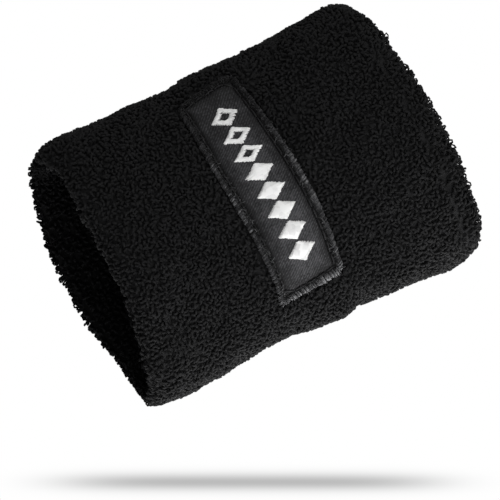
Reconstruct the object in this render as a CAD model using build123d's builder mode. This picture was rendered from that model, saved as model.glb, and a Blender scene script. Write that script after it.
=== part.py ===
from build123d import *
import math
import os

# Terry sweat wristband, relaxed. The band is one knitted terry tube folded to a double
# wall, so both rims are folds, and its two raw ends meet inside at a closing seam.
# Frame: +Z along the band's axis, z = 0 on the lower rim, X across the wide way of the
# relaxed oval, and the embroidered patch on the front (-Y). Millimetres, degrees.
# An inset or a depth is measured inwards from the outside oval; negative is proud of it.

# ---- band ---------------------------------------------------------------------------
band_height = 80.0  # along the arm, rim to rim
oval_long = 60.0  # outside, across the wide way
oval_short = 38.0  # outside, across the thin way
side_radius = 14.0  # outside radius of the two tight side bends
rim_out = 3.4  # rounding of the folded rims, outside
rim_in = 1.6  # and on the skin side
ground_rim_out = 1.7  # the same two roundings on the ground knit
ground_rim_in = 0.8
cavity_rim_out = 0.8  # and on the cavity
cavity_rim_in = 0.3

pile_out = 1.7  # height of the terry loops on the outside
pile_in = 1.4  # height of the terry loops on the skin side
ground = 0.7  # thickness of the ground knit in one wall
cavity = 1.3  # room between the two walls for the elastic courses
gap = 0.05  # between pile and ground knit

# ---- elastic yarn -------------------------------------------------------------------
elastic_dia = 0.4  # covered yarn
elastic_chamfer = 0.29 * elastic_dia
elastic_pitch = 4.0  # one modelled course for every few real ones
elastic_margin = 6.0  # first course above the lower rim
elastic_gap_out = 0.37  # from the outer wall, leaving room for the bobbin thread
elastic_gap_in = 0.02  # from the inner wall
elastic_seam_clear = 1.5  # no inner course this close to the seam

# ---- closing seam -------------------------------------------------------------------
seam_z = band_height / 2
seam_slot = 1.0  # between the two raw ends
seam_channel = 4.0  # bare strip in the pile along the seam
cord_height = 0.84
cord_gap = 0.05  # from the cavity's inner face
cord_proud = 0.3  # beyond the ground knit, towards the skin
seam_rungs = 60
rung_proud = 0.17  # rung middle beyond the ground knit, towards the skin
rung_thick, rung_wide, rung_tall = 0.3, 0.55, 3.2

# ---- patch --------------------------------------------------------------------------
patch_length = 49.4  # around the band
patch_height = 15.5  # along the band
patch_turn = 2.9  # patch centre from the middle of the front towards +X
patch_slant = 2.7  # its long sides run off square, the +X end higher
patch_z = 40.5
patch_corner = 0.8
least_corner = 0.4  # smallest corner rounding of an inset layer
border_width = 2.0  # overlocked edge thread
border_proud = 0.35
edge_inset = 0.8  # how far the woven edge sits inside the border
pocket_depth = 1.15  # pile pressed down below the patch
pocket_margin = 0.1  # pocket beyond the patch edge
fabric_top, fabric_bottom = 0.20, 0.58
layer_gap = 0.02  # between touching layers of the patch
backing_top, backing_bottom = fabric_bottom + layer_gap, 0.90
under_gap = 0.03  # below the backing and below the border

# ---- motif --------------------------------------------------------------------------
motif_proud = 0.10
motif_margin = 0.6  # motif kept this far inside the border
diamonds = 8
open_diamonds = 3  # how many of them are outlines
diamond_pitch = 4.75
diamond_wide, diamond_tall = 4.2, 6.5
opening_wide, opening_tall = 1.9, 2.9

# ---- sewing of the patch ------------------------------------------------------------
stitch_inset = 2.5  # needle line, from the patch edge
stitches_along, stitches_across = 17, 4
stitch_short = 0.1  # a straight stitch is this much shorter than its step
needle_dia = 0.32
bobbin_dia = 0.28
knot = 0.02  # how much fuller the thread is where it turns through a hole
bobbin_gap = 0.03  # between the outer ground knit and the bobbin thread
hole_radius = needle_dia / 2 + 0.04

# ---- derived ------------------------------------------------------------------------
half_long, half_short = oval_long / 2, oval_short / 2
front_radius = (half_long**2 + half_short**2 - 2 * half_long * side_radius) / (
    2 * (half_short - side_radius)
)
side_centre = half_long - side_radius
front_centre = front_radius - half_short  # the front arc is centred at y = +this
join_angle = math.degrees(math.atan2(front_centre, side_centre))
ground_out = pile_out + gap
cavity_out = ground_out + ground
cavity_in = cavity_out + cavity
ground_in = cavity_in + ground
pile_inner_face = ground_in + gap
wall = pile_inner_face + pile_in
half_patch = math.degrees(patch_length / 2 / front_radius)
patch_x = front_radius * math.sin(math.radians(patch_turn))
slope = math.tan(math.radians(patch_slant))


# ---- oval helpers -------------------------------------------------------------------
def oval_arcs(inset):
    """The oval's four tangent arcs: (centre x, centre y, radius, start angle, sweep)."""
    side, front = side_radius - inset, front_radius - inset
    side_sweep, front_sweep = 2 * join_angle, 180 - 2 * join_angle
    return [
        (side_centre, 0.0, side, -join_angle, side_sweep),
        (0.0, -front_centre, front, join_angle, front_sweep),
        (-side_centre, 0.0, side, 180 - join_angle, side_sweep),
        (0.0, front_centre, front, 180 + join_angle, front_sweep),
    ]


def oval_outline(inset):
    """Draw the oval in the open BuildLine."""
    for x, y, radius, start, sweep in oval_arcs(inset):
        CenterArc((x, y), radius, start, sweep)


def is_outer(edge, inset):
    """True for an edge that lies outside the oval at that inset."""
    middle = edge @ 0.5
    x, y = abs(middle.X), abs(middle.Y)
    if math.degrees(math.atan2(y, x - side_centre)) < join_angle:
        return math.hypot(x - side_centre, y) > side_radius - inset
    return math.hypot(x, y + front_centre) > front_radius - inset


def rim_edges(solid):
    """The lowest and highest edges of a builder's part."""
    levels = solid.edges().group_by(Axis.Z)
    return levels[0] + levels[-1]


def oval_sleeve(outer, inner, z0, z1, round_out=0.0, round_in=0.0):
    """An oval sleeve between two insets, its rims rounded outside and inside."""
    with BuildPart() as sleeve:
        with BuildSketch(Plane.XY.offset(z0)):
            with BuildLine():
                oval_outline(outer)
            make_face()
            with BuildLine():
                oval_outline(inner)
            make_face(mode=Mode.SUBTRACT)
        extrude(amount=z1 - z0)
        if round_out:
            middle = (outer + inner) / 2
            fillet([e for e in rim_edges(sleeve) if is_outer(e, middle)], round_out)
        if round_in:
            # The limit sits just outside the inner oval, clear of the outer rounding.
            limit = inner - round_in / 2
            fillet([e for e in rim_edges(sleeve) if not is_outer(e, limit)], round_in)
    return sleeve.part


def oval_band(outer, inner, z, height):
    """A square-rimmed sleeve centred on a height."""
    return oval_sleeve(outer, inner, z - height / 2, z + height / 2)


def oval_stations(inset, count, z):
    """Even places round the oval at that inset, each with local x outwards and z up."""
    arcs = oval_arcs(inset)
    lengths = [math.radians(sweep) * radius for _, _, radius, _, sweep in arcs]
    places = []
    for k in range(count):
        travel = (k + 0.5) * sum(lengths) / count
        for (centre_x, centre_y, radius, start, sweep), length in zip(arcs, lengths):
            if travel <= length:
                angle = start + sweep * travel / length
                x = centre_x + radius * math.cos(math.radians(angle))
                y = centre_y + radius * math.sin(math.radians(angle))
                places.append(Location((x, y, z), (0, 0, angle)))
                break
            travel -= length
    return places


# ---- patch helpers ------------------------------------------------------------------
def patch_block(outer, inner, inset):
    """A curved plate on the front arc with slanted long sides.

    It lies between two depths, and its outline is inset from the patch edge.
    """
    corner = max(patch_corner - inset, least_corner)
    spread = half_patch - math.degrees(inset / front_radius)
    start = 270 + patch_turn - spread
    centre = (0, front_centre)
    half = patch_height / 2 - inset
    reach = 40  # beyond the patch ends, and through the front of the band
    rise = reach * slope
    with BuildPart() as block:
        with BuildSketch(Plane.XY.offset(patch_z - patch_height)):
            with BuildLine():
                far = CenterArc(centre, front_radius - outer, start, 2 * spread)
                near = CenterArc(centre, front_radius - inner, start, 2 * spread)
                Line(far @ 0, near @ 0)
                Line(far @ 1, near @ 1)
            make_face()
        extrude(amount=2 * patch_height)
        slant_plane = Plane(origin=(patch_x, 0, patch_z), x_dir=(1, 0, 0), z_dir=(0, -1, 0))
        with BuildSketch(slant_plane):
            with BuildLine():
                Polyline(
                    (-reach, -rise - half),
                    (reach, rise - half),
                    (reach, rise + half),
                    (-reach, -rise + half),
                    close=True,
                )
            make_face()
        extrude(amount=reach, mode=Mode.INTERSECT)
        corners = block.edges().filter_by(GeomType.LINE).filter_by(Axis.Z, reverse=True)
        fillet(corners, corner)
    return block.part


def on_front(turn, depth, z):
    """A place on the front arc, local z out of the band, local x round it towards +X."""
    angle = math.radians(270 + turn)
    cosine, sine = math.cos(angle), math.sin(angle)
    radius = front_radius - depth
    return Plane(
        origin=(radius * cosine, front_centre + radius * sine, z),
        x_dir=(-sine, cosine, 0),
        z_dir=(cosine, sine, 0),
    ).location


def needle_line():
    """(turn, z) of each needle point, in even steps round a slanted rectangle."""
    end_turn = half_patch - math.degrees(stitch_inset / front_radius)
    end_z = patch_height / 2 - stitch_inset
    corners = [(-end_turn, -end_z), (end_turn, -end_z), (end_turn, end_z), (-end_turn, end_z)]
    points = []
    for side, (turn0, z0) in enumerate(corners):
        turn1, z1 = corners[(side + 1) % 4]
        steps = stitches_across if side % 2 else stitches_along
        for k in range(steps):
            turn = patch_turn + turn0 + (turn1 - turn0) * k / steps
            x = front_radius * math.sin(math.radians(turn))
            z = patch_z + z0 + (z1 - z0) * k / steps + slope * (x - patch_x)
            points.append((turn, z))
    return points


needle_points = needle_line()


def needle_places(depth):
    """The needle points at a depth, each with local z out of the band."""
    return [on_front(turn, depth, z) for turn, z in needle_points]


def stitch_ends(depth):
    """(start, end) of each stitch at a depth, once round the needle line."""
    points = [place.position for place in needle_places(depth)]
    return list(zip(points, points[1:] + points[:1]))


def stitch_rods(depth):
    """(place, length) of each straight stitch, ending just short of its needle points."""
    return [
        (Plane(origin=(a + b) * 0.5, z_dir=b - a).location, (b - a).length - stitch_short)
        for a, b in stitch_ends(depth)
    ]


def stitch_turns(depth):
    """The needle points at a depth, each with local z along the stitch that starts there."""
    return [Plane(origin=a, z_dir=b - a).location for a, b in stitch_ends(depth)]


# ---- band pieces --------------------------------------------------------------------
def make_terry_pile():
    """The loops, all round both walls and over both rims."""
    blank = oval_sleeve(0, wall, 0, band_height, rim_out, rim_in)
    ground_room = oval_sleeve(
        pile_out,
        pile_inner_face,
        pile_out,
        band_height - pile_out,
        ground_rim_out + gap,
        ground_rim_in + gap,
    )
    # Both overshoot the pile's faces so that the cuts come out clean.
    seam_room = oval_band(pile_inner_face - 0.1, wall + 1, seam_z, seam_channel)
    pocket_room = patch_block(-2, pocket_depth, -pocket_margin)
    hole_middle, hole_length = 1.5, 2.0
    with BuildPart() as pile:
        add(blank)
        add(ground_room, mode=Mode.SUBTRACT)
        add(seam_room, mode=Mode.SUBTRACT)
        add(pocket_room, mode=Mode.SUBTRACT)
        with Locations(needle_places(hole_middle)):
            Cylinder(hole_radius, hole_length, mode=Mode.SUBTRACT)
    return pile.part


def make_ground_knit():
    """One tube folded at both rims, its raw ends at the closing seam."""
    blank = oval_sleeve(
        ground_out,
        ground_in,
        ground_out,
        band_height - ground_out,
        ground_rim_out,
        ground_rim_in,
    )
    cavity_room = oval_sleeve(
        cavity_out,
        cavity_in,
        cavity_out,
        band_height - cavity_out,
        cavity_rim_out,
        cavity_rim_in,
    )
    seam_gap = oval_band(cavity_in - 0.3, wall + 1, seam_z, seam_slot)
    hole_middle, hole_length = 2.1, 1.4
    with BuildPart() as knit:
        add(blank)
        add(cavity_room, mode=Mode.SUBTRACT)
        add(seam_gap, mode=Mode.SUBTRACT)
        with Locations(needle_places(hole_middle)):
            Cylinder(hole_radius, hole_length, mode=Mode.SUBTRACT)
    return knit.part


def yarn_course(inset):
    """One oval ring of yarn about z = 0, its section a square with its corners taken off."""
    half = elastic_dia / 2
    ring = oval_band(inset - half, inset + half, 0, elastic_dia)
    with BuildPart() as course:
        add(ring)
        chamfer(rim_edges(course), elastic_chamfer)
    return course.part


def make_elastic_yarn():
    """Courses in the cavity, one set along each wall."""
    count = int((band_height - 2 * elastic_margin) / elastic_pitch) + 1
    heights = [elastic_margin + elastic_pitch * k for k in range(count)]
    outer_course = yarn_course(cavity_out + elastic_gap_out + elastic_dia / 2)
    inner_course = yarn_course(cavity_in - elastic_gap_in - elastic_dia / 2)
    with BuildPart() as yarn:
        with Locations([(0, 0, z) for z in heights]):
            add(outer_course)
        with Locations([(0, 0, z) for z in heights if abs(z - seam_z) > elastic_seam_clear]):
            add(inner_course)
    return yarn.part


def make_closing_seam_thread():
    """A cord in the slot with rungs over both raw ends."""
    cord = oval_band(cavity_in + cord_gap, ground_in + cord_proud, seam_z, cord_height)
    with BuildPart() as thread:
        add(cord)
        with Locations(oval_stations(ground_in + rung_proud, seam_rungs, seam_z)):
            Box(rung_thick, rung_wide, rung_tall)
    return thread.part


# ---- patch pieces -------------------------------------------------------------------
def patch_layer(top, bottom, hole_middle):
    """A flat layer of the patch inside the border, pierced along the needle line."""
    blank = patch_block(top, bottom, edge_inset)
    hole_length = 0.8
    with BuildPart() as layer:
        add(blank)
        with Locations(needle_places(hole_middle)):
            Cylinder(hole_radius, hole_length, mode=Mode.SUBTRACT)
    return layer.part


def make_patch_border_thread():
    """The overlocked frame, grooved inside to hold the fabric and backing edges."""
    blank = patch_block(-border_proud, pocket_depth - under_gap, 0)
    window = patch_block(-1, 2, border_width)
    groove = patch_block(
        fabric_top - layer_gap, backing_bottom + under_gap, edge_inset - layer_gap
    )
    with BuildPart() as border:
        add(blank)
        add(window, mode=Mode.SUBTRACT)
        add(groove, mode=Mode.SUBTRACT)
    return border.part


def diamond_points(x, wide, tall):
    """The four corners of a diamond centred at x on the motif's row."""
    return [(x - wide / 2, 0), (x, -tall / 2), (x + wide / 2, 0), (x, tall / 2)]


def make_patch_motif_thread():
    """A row of diamonds, the open ones at the +X end."""
    shell = patch_block(-motif_proud, fabric_top - layer_gap, border_width + motif_margin)
    # Local x runs down the slant towards -X; the plane stands 2 in front of the band.
    face = Plane(
        origin=(patch_x, -half_short - 2, patch_z), x_dir=(-1, 0, -slope), z_dir=(0, -1, 0)
    )
    with BuildPart() as motif:
        with BuildSketch(face):
            for k in range(diamonds):
                x = (k - (diamonds - 1) / 2) * diamond_pitch
                with BuildLine():
                    Polyline(*diamond_points(x, diamond_wide, diamond_tall), close=True)
                make_face()
                if k < open_diamonds:
                    with BuildLine():
                        Polyline(*diamond_points(x, opening_wide, opening_tall), close=True)
                    make_face(mode=Mode.SUBTRACT)
        extrude(amount=-8)
        add(shell, mode=Mode.INTERSECT)
    return motif.part


def make_patch_needle_thread():
    """Straight stitches over the fabric and a leg down to the cavity at each point."""
    top = fabric_top - layer_gap - needle_dia / 2
    leg_bottom = cavity_out - 0.01  # just short of the cavity
    with BuildPart() as thread:
        for place, length in stitch_rods(top):
            with Locations(place):
                Cylinder(needle_dia / 2 - knot, length)
        with Locations(needle_places((top + leg_bottom) / 2)):
            Cylinder(needle_dia / 2, leg_bottom - top)
        with Locations(needle_places(top)):
            Sphere(needle_dia / 2 + knot)
    return thread.part


def make_patch_bobbin_thread():
    """The matching stitches inside the cavity, against the outer wall."""
    depth = cavity_out + bobbin_gap + bobbin_dia / 2
    with BuildPart() as thread:
        for place, length in stitch_rods(depth):
            with Locations(place):
                Cylinder(bobbin_dia / 2, length)
        with Locations(stitch_turns(depth)):
            Sphere(bobbin_dia / 2 + knot)
    return thread.part


# ---- write one STEP per piece -------------------------------------------------------
pieces = {
    "terry_pile": make_terry_pile(),
    "ground_knit": make_ground_knit(),
    "elastic_yarn": make_elastic_yarn(),
    "closing_seam_thread": make_closing_seam_thread(),
    "patch_backing": patch_layer(backing_top, backing_bottom, hole_middle=0.75),
    "patch_fabric": patch_layer(fabric_top, fabric_bottom, hole_middle=0.4),
    "patch_border_thread": make_patch_border_thread(),
    "patch_motif_thread": make_patch_motif_thread(),
    "patch_needle_thread": make_patch_needle_thread(),
    "patch_bobbin_thread": make_patch_bobbin_thread(),
}
os.makedirs("parts", exist_ok=True)
for name, part in pieces.items():
    part.label = name
    export_step(part, f"parts/{name}.step")
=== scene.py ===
# A black terry wristband: a double wall of loop pile folded at both rims, with a sewn patch.
# The band's axis is +Z from 0 to 80 mm, its wide way is X, and the patch faces the front, -Y.
# Lengths are millimetres until a mesh, light or camera is made in metres.

import math
import bpy
import numpy as np
from mathutils import Matrix, Vector


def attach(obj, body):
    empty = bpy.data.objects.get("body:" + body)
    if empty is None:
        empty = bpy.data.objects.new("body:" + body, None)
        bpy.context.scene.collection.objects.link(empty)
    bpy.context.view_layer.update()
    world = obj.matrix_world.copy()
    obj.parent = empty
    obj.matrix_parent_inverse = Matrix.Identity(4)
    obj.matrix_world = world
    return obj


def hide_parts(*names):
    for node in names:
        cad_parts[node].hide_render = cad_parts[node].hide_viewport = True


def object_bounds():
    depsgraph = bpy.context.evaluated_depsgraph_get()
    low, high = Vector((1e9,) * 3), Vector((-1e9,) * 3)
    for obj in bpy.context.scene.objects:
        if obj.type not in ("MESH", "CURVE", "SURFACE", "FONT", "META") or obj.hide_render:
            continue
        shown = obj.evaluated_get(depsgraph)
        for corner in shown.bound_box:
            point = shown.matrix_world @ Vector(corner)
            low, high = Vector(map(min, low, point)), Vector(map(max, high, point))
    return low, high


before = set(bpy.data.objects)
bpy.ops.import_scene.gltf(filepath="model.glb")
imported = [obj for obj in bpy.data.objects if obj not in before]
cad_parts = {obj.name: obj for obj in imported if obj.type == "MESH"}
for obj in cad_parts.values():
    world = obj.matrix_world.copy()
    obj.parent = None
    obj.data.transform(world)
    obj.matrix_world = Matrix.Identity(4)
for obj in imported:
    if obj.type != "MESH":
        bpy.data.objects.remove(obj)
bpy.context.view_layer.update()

MM = 0.001
TAU = 2 * math.pi

# ---- dimensions shared with the CAD part ----------------------------------------------
HEIGHT = 80.0
HALF_LONG, HALF_SHORT, SIDE_R = 30.0, 19.0, 14.0
FRONT_R = (HALF_LONG**2 + HALF_SHORT**2 - 2 * HALF_LONG * SIDE_R) / (2 * (HALF_SHORT - SIDE_R))
SIDE_C, FRONT_C = HALF_LONG - SIDE_R, FRONT_R - HALF_SHORT  # how far the arc centres are offset
JOIN = math.atan2(FRONT_C, SIDE_C)  # angle at which side and front arcs meet
MID_Z = HEIGHT / 2
SEAM_Z = MID_Z
MID_DEPTH = 3.0  # depth of the middle of the wall
PATCH_L, PATCH_H, PATCH_Z = 49.4, 15.5, 40.25
HALF_L, HALF_H = PATCH_L / 2, PATCH_H / 2
PATCH_TURN = math.radians(2.9)
PATCH_SLOPE = math.tan(math.radians(2.7))
CORNER = 0.5  # radius of the patch's corners

# ---- what the cloth looks like --------------------------------------------------------
OUT_DEPTH = 1.30  # depth of the outside ground surface the loops grow from
FOLD_OUT, FOLD_IN = 2.45, 1.00  # how the wall's thickness divides at the fold's crest
IN_DEPTH = OUT_DEPTH + FOLD_OUT + FOLD_IN
RISE_OUT, RISE_IN = 4.6, 1.7  # how far down each side of the fold's rounding reaches
OVER = 0.7  # how far the fluffed folds stand past the CAD rim
TOP_Z = HEIGHT - OUT_DEPTH + OVER  # top of the ground surface
YARN = 0.30  # radius of the loop yarn
SINK, DIVE = 0.22, 0.40  # how far the patch is sunk in the pile, and how much more at +X


def ease(value, start, end):
    """0 before start, 1 after end and smooth between."""
    share = np.clip((value - start) / (end - start), 0, 1)
    return share * share * (3 - 2 * share)


def hump(value, width):
    return np.exp(-((value / width) ** 2))


def unit(vectors):
    return vectors / np.maximum(np.linalg.norm(vectors, axis=-1, keepdims=True), 1e-9)


def field(seed, wavelength, count=24):
    """A smooth random field of about unit spread that varies over that many millimetres."""
    rng = np.random.default_rng(seed)
    waves = rng.normal(size=(count, 3))
    waves /= np.linalg.norm(waves, axis=1)[:, None]
    waves *= TAU / (wavelength * rng.uniform(0.7, 1.5, (count, 1)))
    phases = rng.uniform(0, TAU, count)

    def at(points):
        total = np.zeros(len(points))
        for wave, phase in zip(waves, phases):
            total += np.cos(points @ wave + phase)
        return total * math.sqrt(2.0 / count)

    return at


slow, medium, fine = field(11, 24.0), field(12, 8.5), field(13, 3.6)


# ---- the relaxed oval -----------------------------------------------------------------
# centre x, centre y, radius, first angle, sweep
ARCS = np.array([
    (SIDE_C, 0.0, SIDE_R, -JOIN, 2 * JOIN),
    (0.0, -FRONT_C, FRONT_R, JOIN, math.pi - 2 * JOIN),
    (-SIDE_C, 0.0, SIDE_R, math.pi - JOIN, 2 * JOIN),
    (0.0, FRONT_C, FRONT_R, math.pi + JOIN, math.pi - 2 * JOIN),
])
ARC_LENGTHS = ARCS[:, 4] * (ARCS[:, 2] - MID_DEPTH)
ARC_ENDS = np.concatenate([[0], np.cumsum(ARC_LENGTHS)]) / ARC_LENGTHS.sum()


def place(turn, depth, z):
    """Points of the undisturbed band at that many turns, equal steps at mid wall, and the way out."""
    turn = np.mod(turn, 1.0)
    arc = np.clip(np.searchsorted(ARC_ENDS, turn, side="right") - 1, 0, 3)
    share = (turn - ARC_ENDS[arc]) / (ARC_ENDS[arc + 1] - ARC_ENDS[arc])
    centre_x, centre_y, radius, first, sweep = ARCS[arc].T
    angle = first + sweep * share
    cos, sin = np.cos(angle), np.sin(angle)
    reach = radius - depth
    points = np.stack([centre_x + reach * cos, centre_y + reach * sin, z], 1)
    return points, np.stack([cos, sin, 0 * cos], 1)


# Each table below is a row of stations and a row of lengths at them.
# x, and how much each rim stands above (+) or below level
UPPER_EDGE = (
    [-30, -26, -20, -14, -8, 0, 5, 13, 20, 25.5, 28, 30.5],
    [0.9, -0.6, 0.2, 0.0, 0.5, 0.5, 0.8, 0.5, -0.4, -1.3, -2.4, -4.2],
)
LOWER_EDGE = (
    [-30, -28, -26, -20, -10, -4, 4, 10, 17, 21, 25.5, 30.5],
    [0.3, -0.2, -0.7, -0.8, -0.8, -0.3, -0.8, -0.5, 0.2, 0.7, 2.2, 0.6],
)
# x, and how far the front of the upper rim is pulled down towards the patch
FRONT_DIP = (
    [-30, -23, -15, -10.6, -6, -2, 0, 2, 4, 6.5, 8.5, 10.6, 12.7, 15, 17, 19, 21, 23.3, 25.4],
    [0.9, 0.9, 0.8, 1.2, 1.9, 2.2, 2.1, 2.9, 3.1, 3.5,
     3.9, 4.0, 3.8, 3.3, 3.1, 2.6, 2.1, 1.4, 0.0],
)
# z, and how much wider the band is than its waist curve, at +X and at -X
PLUS_SIDE = (
    [1, 3, 7, 12, 20, 25, 29, 34, 39, 44.5, 48, 60, 66, 80],
    [0.8, 0.8, 0.6, 0.3, 0.6, 0.4, 0.4, 1.1, 1.2, 0.7, 0.3, 0.5, 0.1, 0.1],
)
MINUS_SIDE = (
    [-1, 1, 3, 7, 12, 16, 20, 25, 29, 33.5, 38, 42, 46, 60, 75],
    [-0.2, 0.4, 1.1, 1.0, 0.6, 0.9, 0.8, 0.6, 0.5, 1.8, 1.3, 0.7, 0.1, 0.1, 0.4],
)


def warp(points):
    """The band's real shape: a slight waist, fuller ends, and the soft unevenness of cloth."""
    x, y, z = points.T
    from_middle = np.abs(z - MID_Z)
    out = points.copy()
    # waist
    away = ease(from_middle, 5.0, 29.0)
    out[:, 0] *= 0.988 + 0.032 * away
    out[:, 1] *= 0.985 + 0.028 * away
    # slow unevenness of the walls, then of the rims
    out[:, 0] += 0.20 * slow(points)
    out[:, 1] += 0.24 * slow(points + 40.0)
    rim = ease(from_middle, 26.0, 40.0)
    out[:, 2] += 0.45 * rim * slow(points * np.array([1.0, 1.0, 0.2]) + 90.0)
    # the upper rim: a swelling at x = 12, its measured edge and the dip at the front
    out[:, 2] += 1.1 * ease(z, 55.0, 80.0) * hump(x - 12.0, 10.0)
    out[:, 2] += ease(z, 50.0, 79.0) * np.interp(x, *UPPER_EDGE)
    out[:, 2] -= ease(z, 50.0, 78.0) * ease(-y, -3.0, 6.0) * np.interp(x, *FRONT_DIP)
    out[:, 2] += ease(-z, -30.0, -1.0) * np.interp(x, *LOWER_EDGE)
    # the two narrow sides
    out[:, 0] += ease(x, 12.0, 28.0) * np.interp(z, *PLUS_SIDE)
    out[:, 0] -= ease(-x, 12.0, 28.0) * np.interp(z, *MINUS_SIDE)
    return out


# ---- the patch's own surface ----------------------------------------------------------
# `along` is the arc length from the patch's centre towards +X, z the height from its middle.
# along, and the patch's height there as a share of PATCH_H
TAPER = ([-HALF_L, -16, -8, 0, 8, 16, HALF_L], [0.955, 1.02, 1.035, 1.05, 1.05, 1.0, 0.925])


def upper_stretch(z):
    return 1 + 0.07 * ease(z, 1.0, 7.0)


def skew(along):
    """How far the patch leans along the band for each millimetre up."""
    return 0.085 - 0.070 * ease(along, 5.0, 24.0)


def run_off(along):
    """How far the patch's middle line has climbed, for it is sewn on askew."""
    angle = PATCH_TURN + along / FRONT_R
    return PATCH_SLOPE * FRONT_R * (np.sin(angle) - math.sin(PATCH_TURN))


def sunk(along):
    """How deep the patch lies in the pile."""
    return SINK + DIVE * ease(along, 12.0, 24.0)


def on_band(along, z, depth):
    """A point of the band's front, placed from the patch's centre."""
    angle = 1.5 * math.pi + PATCH_TURN + along / FRONT_R
    reach = FRONT_R - depth
    return np.stack([reach * np.cos(angle), FRONT_C + reach * np.sin(angle), PATCH_Z + z], 1)


def on_patch(along, z, depth):
    """A point of the patch: tapered, askew and with its upper -X corner pulled out."""
    pull = np.exp(-((along + HALF_L) ** 2 + (z - HALF_H) ** 2) / (2 * 2.2**2))
    up = z * upper_stretch(z) * np.interp(along, *TAPER) + 0.15 * np.sin(along / 6.0) + 0.9 * pull
    out = along - skew(along) * z + 0.75 * ease(along, 14.0, HALF_L) - 0.7 * pull
    return on_band(out - PATCH_SLOPE * up, up + run_off(out), depth)


def patch_coords(points):
    """About the patch's own (along, z) of points near the front."""
    angle = np.arctan2(points[:, 1] - FRONT_C, points[:, 0])
    on_arc = (np.mod(angle, TAU) - 1.5 * math.pi - PATCH_TURN) * FRONT_R
    up = points[:, 2] - PATCH_Z - run_off(on_arc)
    z = up / np.interp(np.clip(on_arc, -HALF_L, HALF_L), *TAPER) / upper_stretch(up)
    along = on_arc + PATCH_SLOPE * up
    return along + skew(along) * z - 0.75 * ease(along, 14.0, 25.0), z


def patch_distance(along, z, grow=0.0):
    """Signed distance to the patch's rounded outline grown by that much, negative inside."""
    over_l = np.abs(along) - (HALF_L + grow - CORNER)
    over_h = np.abs(z) - (HALF_H + grow - CORNER)
    outside = np.hypot(np.maximum(over_l, 0), np.maximum(over_h, 0))
    return outside + np.minimum(np.maximum(over_l, over_h), 0) - CORNER


# ---- mesh helpers ---------------------------------------------------------------------
def make_mesh(name, verts, groups, surface, flat=False):
    """A mesh object from millimetre points and a list of face arrays, one for each face size."""
    mesh = bpy.data.meshes.new(name)
    mesh.vertices.add(len(verts))
    mesh.vertices.foreach_set("co", (np.asarray(verts, float) * MM).astype(np.float32).ravel())
    loops = np.concatenate([group.ravel() for group in groups])
    sizes = np.concatenate([np.full(len(group), group.shape[1]) for group in groups])
    starts = np.concatenate([[0], np.cumsum(sizes)[:-1]])
    mesh.loops.add(len(loops))
    mesh.loops.foreach_set("vertex_index", loops.astype(np.int32))
    mesh.polygons.add(len(sizes))
    mesh.polygons.foreach_set("loop_start", starts.astype(np.int32))
    mesh.polygons.foreach_set("use_smooth", np.full(len(sizes), not flat))
    mesh.update(calc_edges=True)
    mesh.validate()
    mesh.materials.append(surface)
    made = bpy.data.objects.new(name, mesh)
    bpy.context.scene.collection.objects.link(made)
    return made


def register(made, cad_node):
    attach(made, "root")
    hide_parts(cad_node)


def set_attribute(made, name, values):
    layer = made.data.attributes.new(name, "FLOAT", "POINT")
    layer.data.foreach_set("value", np.asarray(values).astype(np.float32))


def grid_faces(rows, columns, closed=True):
    """Quads of a grid of points, which wraps both ways when closed."""
    trim = 0 if closed else 1
    i, j = np.meshgrid(np.arange(rows - trim), np.arange(columns - trim), indexing="ij")
    after_i, after_j = (i + 1) % rows, (j + 1) % columns
    corners = [(i, j), (after_i, j), (after_i, after_j), (i, after_j)]
    return np.stack([row * columns + column for row, column in corners], -1).reshape(-1, 4)


def tubes(paths, across, radius, sides, closed=False):
    """Vertices and faces of one tube along each path. paths and across are N x steps x 3."""
    count, steps = paths.shape[:2]
    if closed:
        tangent = np.roll(paths, -1, 1) - np.roll(paths, 1, 1)
    else:
        tangent = np.empty_like(paths)
        tangent[:, 1:-1] = paths[:, 2:] - paths[:, :-2]
        tangent[:, 0] = paths[:, 1] - paths[:, 0]
        tangent[:, -1] = paths[:, -1] - paths[:, -2]
    tangent = unit(tangent)
    second = unit(across - (across * tangent).sum(-1, keepdims=True) * tangent)
    first = np.cross(tangent, second)
    angle = ((np.arange(sides) + 0.5) * TAU / sides)[None, None, :, None]
    radius = np.asarray(radius, float)
    if radius.ndim == 1:
        radius = radius[:, None]
    radius = np.broadcast_to(radius, (count, steps))[:, :, None, None]
    circle = np.cos(angle) * first[:, :, None] + np.sin(angle) * second[:, :, None]
    verts = paths[:, :, None] + radius * circle

    starts = np.arange(count) * steps * sides
    base = starts[:, None, None]
    i = np.arange(steps if closed else steps - 1)[None, :, None]
    j = (i + 1) % steps
    side = np.arange(sides)[None, None, :]
    after = (side + 1) % sides
    quads = [base + i * sides + side, base + j * sides + side,
             base + j * sides + after, base + i * sides + after]
    faces = [np.stack(quads, -1).reshape(-1, 4)]
    if not closed:
        cap = starts[:, None] + np.arange(sides)[None]
        faces += [cap, (cap + (steps - 1) * sides)[:, ::-1]]
    return verts.reshape(-1, 3), faces


def join_parts(parts):
    """Several (vertices, face groups) as one."""
    by_size, offset = {}, 0
    for verts, groups in parts:
        for group in groups:
            by_size.setdefault(group.shape[1], []).append(group + offset)
        offset += len(verts)
    faces = [np.concatenate(group) for group in by_size.values()]
    return np.concatenate([verts for verts, _ in parts]), faces


# ---- shader node helpers --------------------------------------------------------------
def plug(tree, socket, value):
    if isinstance(value, bpy.types.NodeSocket):
        tree.links.new(value, socket)
    else:
        socket.default_value = value


def feed(tree, target, *inputs, **named):
    """Sets or links a node's inputs, in order or by name. Other names are its settings."""
    for key, value in named.items():
        label = key.replace("_", " ")
        if label in target.inputs:
            plug(tree, target.inputs[label], value)
        else:
            setattr(target, key, value)
    for socket, value in zip(target.inputs, inputs):
        plug(tree, socket, value)
    return target


def node(tree, kind, *inputs, **named):
    return feed(tree, tree.nodes.new(kind), *inputs, **named)


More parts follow.
